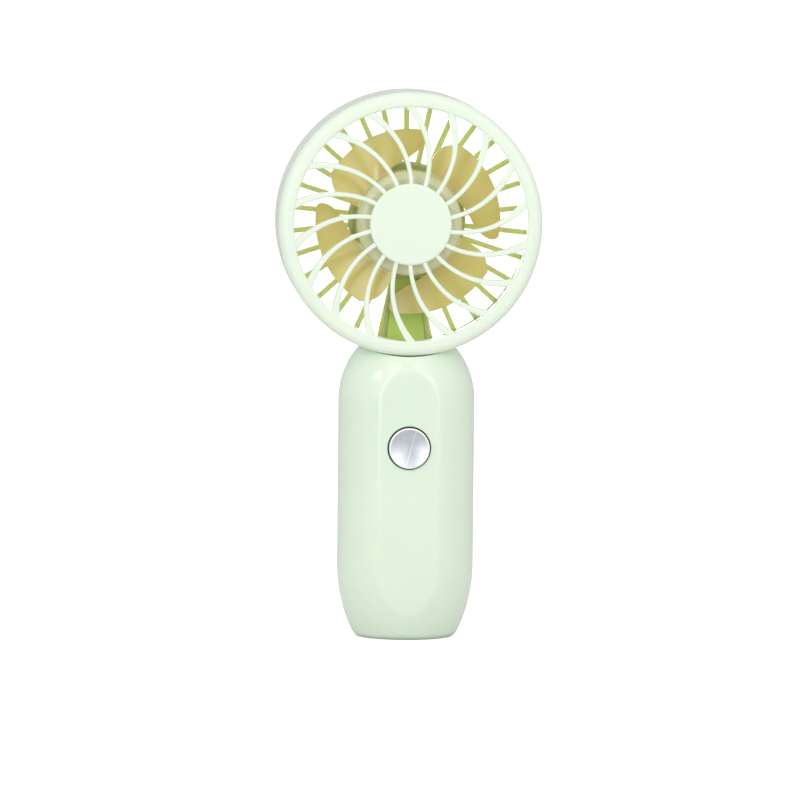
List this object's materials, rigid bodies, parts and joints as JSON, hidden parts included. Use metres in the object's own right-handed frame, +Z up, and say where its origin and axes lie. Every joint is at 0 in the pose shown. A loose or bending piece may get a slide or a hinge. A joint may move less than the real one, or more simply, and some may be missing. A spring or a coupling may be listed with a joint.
{
  "type": "handheld electric fan",
  "caption": "Pocket-size rechargeable fan: round head with swirl-spoked grille on a rounded handle with a push button.",
  "frame": {"origin": "middle of the handle's flat foot, on the parting plane", "axes": "+Z up along the handle to the head, -Y out of the front grille, +X to the right seen from the front"},
  "size_m": [0.0696, 0.0283, 0.145],
  "materials": {
    "mint_shell": "gloss moulded",
    "mint_grille": "satin-gloss moulded",
    "olive_grille": "satin moulded",
    "tan_impeller": "satin moulded",
    "button_chrome": "bright plated",
    "screw_steel": "zinc plated",
    "tinned_steel": "tinned",
    "ground_steel": "ground",
    "socket_steel": "drawn",
    "battery_steel": "nickel plated",
    "black_plastic": "matt moulded",
    "white_plastic": "matt moulded",
    "circuit_board": "solder resist",
    "chip_ceramic": "fired",
    "gilt": "gilded",
    "battery_sleeve": "shrink film",
    "foam": "closed-cell foam",
    "red_wire": "insulation",
    "black_wire": "insulation",
    "magnet": "bonded ferrite",
    "bronze": "sintered",
    "copper": "enamelled copper"
  },
  "bodies": {
    "body": {"handle_front_shell": "mint_shell", "handle_rear_shell": "mint_shell", "neck_screws": "screw_steel", "foot_screws": "screw_steel", "switch_body": "black_plastic", "switch_plate": "screw_steel", "switch_dome": "screw_steel", "switch_legs": "tinned_steel", "main_board": "circuit_board", "board_screws": "screw_steel", "controller_chip": "black_plastic", "board_parts": "chip_ceramic", "boost_coil": "black_plastic", "motor_connector": "white_plastic", "charge_board": "circuit_board", "charge_screws": "screw_steel", "charge_chip": "black_plastic", "usb_shell": "socket_steel", "usb_tongue": "black_plastic", "usb_contacts": "gilt", "battery_can": "battery_steel", "battery_gasket": "white_plastic", "battery_cap": "battery_steel", "battery_sleeve": "battery_sleeve", "battery_top_tab": "battery_steel", "battery_foot_tab": "battery_steel", "battery_pad": "foam", "battery_lead_red": "red_wire", "battery_lead_black": "black_wire", "charge_lead_red": "red_wire", "charge_lead_black": "black_wire", "head_ring": "mint_shell", "front_grille": "mint_grille", "rear_grille": "olive_grille", "duct_cover": "olive_grille", "motor_lead_red": "red_wire", "motor_lead_black": "black_wire", "sleeve_bearing": "bronze", "stator_core": "screw_steel", "stator_bobbins": "white_plastic", "stator_windings": "copper", "motor_board": "circuit_board", "hall_sensor": "black_plastic"},
    "impeller": {"impeller": "tan_impeller", "rotor_yoke": "screw_steel", "rotor_magnet": "magnet", "motor_shaft": "ground_steel", "shaft_clip": "screw_steel", "thrust_washer": "white_plastic"},
    "button": {"power_button": "button_chrome"},
    "plunger": {"switch_plunger": "black_plastic"}
  },
  "joints": [
    {"name": "impeller_spin", "type": "hinge", "parent": "body", "child": "impeller", "pos_m": [0, 0, 0.1102], "axis": [0, 1, 0], "continuous": true},
    {"name": "button_press", "type": "slide", "parent": "body", "child": "button", "axis": [0, 1, 0], "range_m": [0, 0.00035], "stiffness_N_per_m": 800},
    {"name": "plunger_press", "type": "slide", "parent": "body", "child": "plunger", "axis": [0, 1, 0], "range_m": [0, 0.00035]}
  ],
  "couplings": [
    {"joint": "plunger_press", "follows": "button_press", "ratio": 1}
  ]
}
